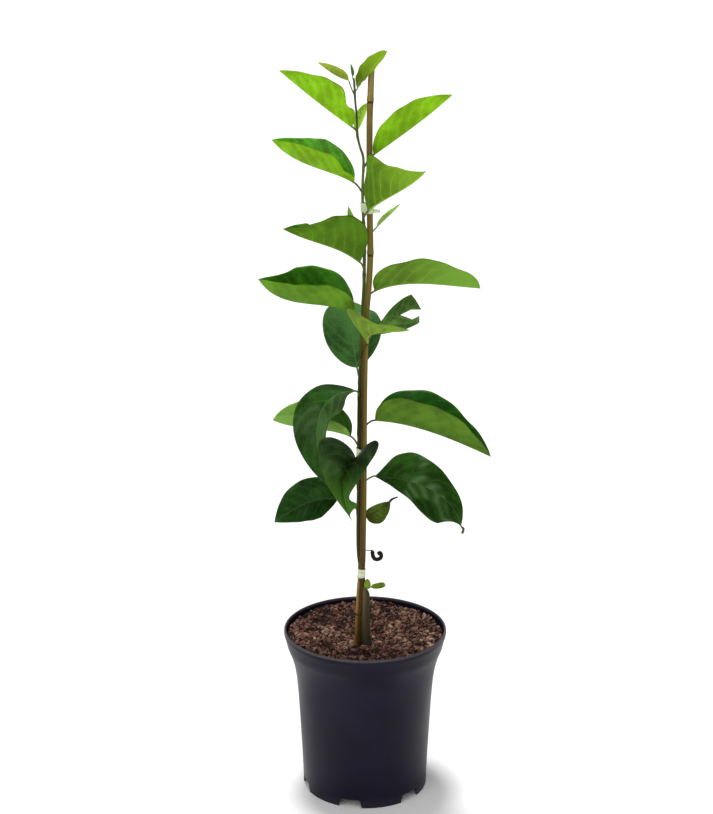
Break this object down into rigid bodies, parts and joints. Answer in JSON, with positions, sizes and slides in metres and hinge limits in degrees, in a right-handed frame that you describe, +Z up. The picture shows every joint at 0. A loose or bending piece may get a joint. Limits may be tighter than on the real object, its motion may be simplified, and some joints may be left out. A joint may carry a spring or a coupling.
{
  "type": "potted persimmon tree",
  "caption": "Young grafted persimmon tree with broad folded leaves, tied to a bamboo cane and rooted in a round dark plastic nursery pot full of bark soil.",
  "frame": {"origin": "centre of the pot's underside, on the surface that the pot stands on", "axes": "+Z up along the stem, +X to the right and +Y away from the side that the picture shows"},
  "size_m": [0.2697, 0.2116, 0.9173],
  "materials": {
    "pot": "satin, moulded",
    "soil": "rough, bark crumbs",
    "bark": "dull bark",
    "scion": "smooth young bark",
    "bamboo": "satin cane",
    "tape": "thin, see-through",
    "leaf_young": "satin, light green",
    "leaf_green": "glossy green",
    "leaf_dark": "glossy dark green",
    "leaf_withered": "dull, dried",
    "dried_stalk": "dull, dried"
  },
  "bodies": {
    "root": {"pot": "pot", "soil": "soil", "rootstock": "bark", "scion_stem": "scion", "bamboo_cane": "bamboo", "tie_top": "tape", "tie_middle": "tape", "tie_bottom": "tape", "leaf_01_apex_left": "leaf_young", "leaf_02_apex_right": "leaf_young", "leaf_03_apex_bud": "leaf_green", "leaf_04_upper_left": "leaf_young", "leaf_05_upper_back": "leaf_young", "leaf_06_upper_right": "leaf_young", "leaf_07_shoulder_left": "leaf_green", "leaf_08_front": "leaf_young", "leaf_09_small_back": "leaf_green", "leaf_10_large_left": "leaf_green", "leaf_11_narrow_right": "leaf_young", "leaf_12_large_right": "leaf_green", "leaf_13_large_left": "leaf_dark", "leaf_14_large_back": "leaf_dark", "leaf_15_front": "leaf_green", "leaf_16_torn_right": "leaf_dark", "leaf_17_low_right": "leaf_dark", "leaf_18_hanging_left": "leaf_dark", "leaf_19_low_back_left": "leaf_green", "leaf_20_front_drooping": "leaf_dark", "leaf_21_low_right": "leaf_dark", "leaf_22_lowest_left": "leaf_dark", "withered_leaf": "leaf_withered", "bud_leaf_upright": "leaf_young", "bud_leaf_right": "leaf_young", "dried_curl": "dried_stalk"}
  },
  "joints": []
}
